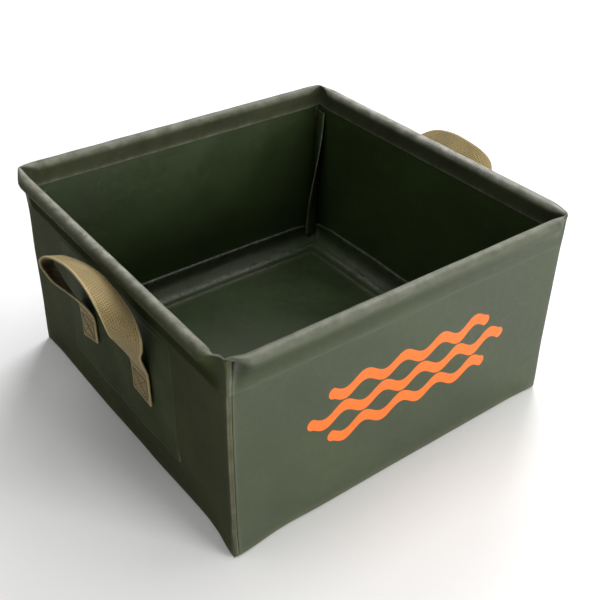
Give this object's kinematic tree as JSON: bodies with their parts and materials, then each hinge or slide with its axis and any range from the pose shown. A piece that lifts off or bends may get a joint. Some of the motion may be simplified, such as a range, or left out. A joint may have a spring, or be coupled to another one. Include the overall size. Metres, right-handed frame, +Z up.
{
  "type": "collapsible camp washbasin",
  "caption": "Square soft-sided camp washbasin of coated sheet, with rods in a hemmed rim that drops towards the base to pack it flat, and a webbing handle on each side.",
  "frame": {"origin": "middle of the underside of the base, on the ground", "axes": "+Z up; the plain front wall faces -Y and the handles are on the -X and +X walls"},
  "size_m": [0.4226, 0.36, 0.1939],
  "materials": {
    "coated_sheet": "satin",
    "webbing": "matte",
    "thread": "matte",
    "rod": "satin"
  },
  "bodies": {
    "tub": {"base_panel": "coated_sheet", "front_wall": "coated_sheet", "right_wall": "coated_sheet", "back_wall": "coated_sheet", "left_wall": "coated_sheet", "left_handle_patch": "coated_sheet", "right_handle_patch": "coated_sheet"},
    "rim": {"front_rim_hem": "coated_sheet", "right_rim_hem": "coated_sheet", "back_rim_hem": "coated_sheet", "left_rim_hem": "coated_sheet", "front_rim_rod": "rod", "right_rim_rod": "rod", "back_rim_rod": "rod", "left_rim_rod": "rod"},
    "left_handle_ends": {"left_front_strap_end": "webbing", "left_back_strap_end": "webbing", "left_front_box_stitch": "thread", "left_back_box_stitch": "thread"},
    "left_handle": {"left_handle_strap": "webbing"},
    "right_handle_ends": {"right_front_strap_end": "webbing", "right_back_strap_end": "webbing", "right_front_box_stitch": "thread", "right_back_box_stitch": "thread"},
    "right_handle": {"right_handle_strap": "webbing"}
  },
  "joints": [
    {"name": "rim_drop", "type": "slide", "parent": "tub", "child": "rim", "axis": [0, 0, -1], "range_m": [0, 0.135], "deforming": ["front_wall", "right_wall", "back_wall", "left_wall", "left_handle_patch", "right_handle_patch"]},
    {"name": "left_handle_slide", "type": "slide", "parent": "tub", "child": "left_handle_ends", "axis": [0, 0, -1], "range_m": [0, 0.0836], "deforming": ["left_front_strap_end", "left_back_strap_end", "left_front_box_stitch", "left_back_box_stitch"]},
    {"name": "right_handle_slide", "type": "slide", "parent": "tub", "child": "right_handle_ends", "axis": [0, 0, -1], "range_m": [0, 0.0836], "deforming": ["right_front_strap_end", "right_back_strap_end", "right_front_box_stitch", "right_back_box_stitch"]},
    {"name": "left_handle_swing", "type": "hinge", "parent": "left_handle_ends", "child": "left_handle", "pos_m": [-0.1726, 0.0045, 0.102], "axis": [0, 1, 0], "range_deg": [-115, 0]},
    {"name": "right_handle_swing", "type": "hinge", "parent": "right_handle_ends", "child": "right_handle", "pos_m": [0.1726, -0.0045, 0.102], "axis": [0, -1, 0], "range_deg": [-115, 0]}
  ],
  "couplings": [
    {"joint": "left_handle_slide", "follows": "rim_drop", "ratio": 0.6182},
    {"joint": "right_handle_slide", "follows": "rim_drop", "ratio": 0.6182}
  ]
}
